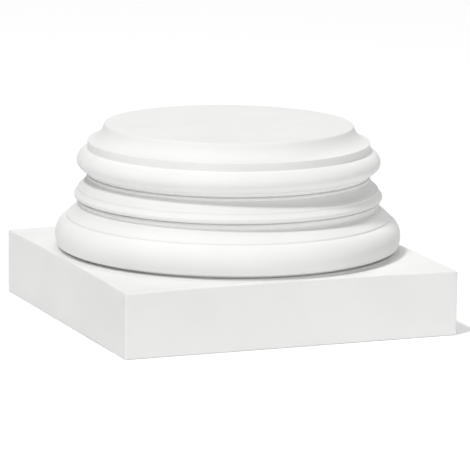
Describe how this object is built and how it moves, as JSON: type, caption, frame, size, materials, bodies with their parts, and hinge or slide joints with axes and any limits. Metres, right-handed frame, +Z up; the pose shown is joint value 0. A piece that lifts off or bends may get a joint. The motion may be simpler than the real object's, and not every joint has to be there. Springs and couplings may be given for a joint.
{
  "type": "column base",
  "caption": "Classical column base: square plinth under a turned lower torus, scotia with ring, upper torus and cavetto, with a flat round seat for the shaft.",
  "frame": {"origin": "centre of the square underside", "axes": "+Z up along the axis of the turned mouldings, X and Y along the plinth's sides"},
  "size_m": [0.33, 0.33, 0.1827],
  "materials": {
    "moulded_foam": "smooth white primer on moulded rigid foam"
  },
  "bodies": {
    "root": {"column_base": "moulded_foam"}
  },
  "joints": []
}
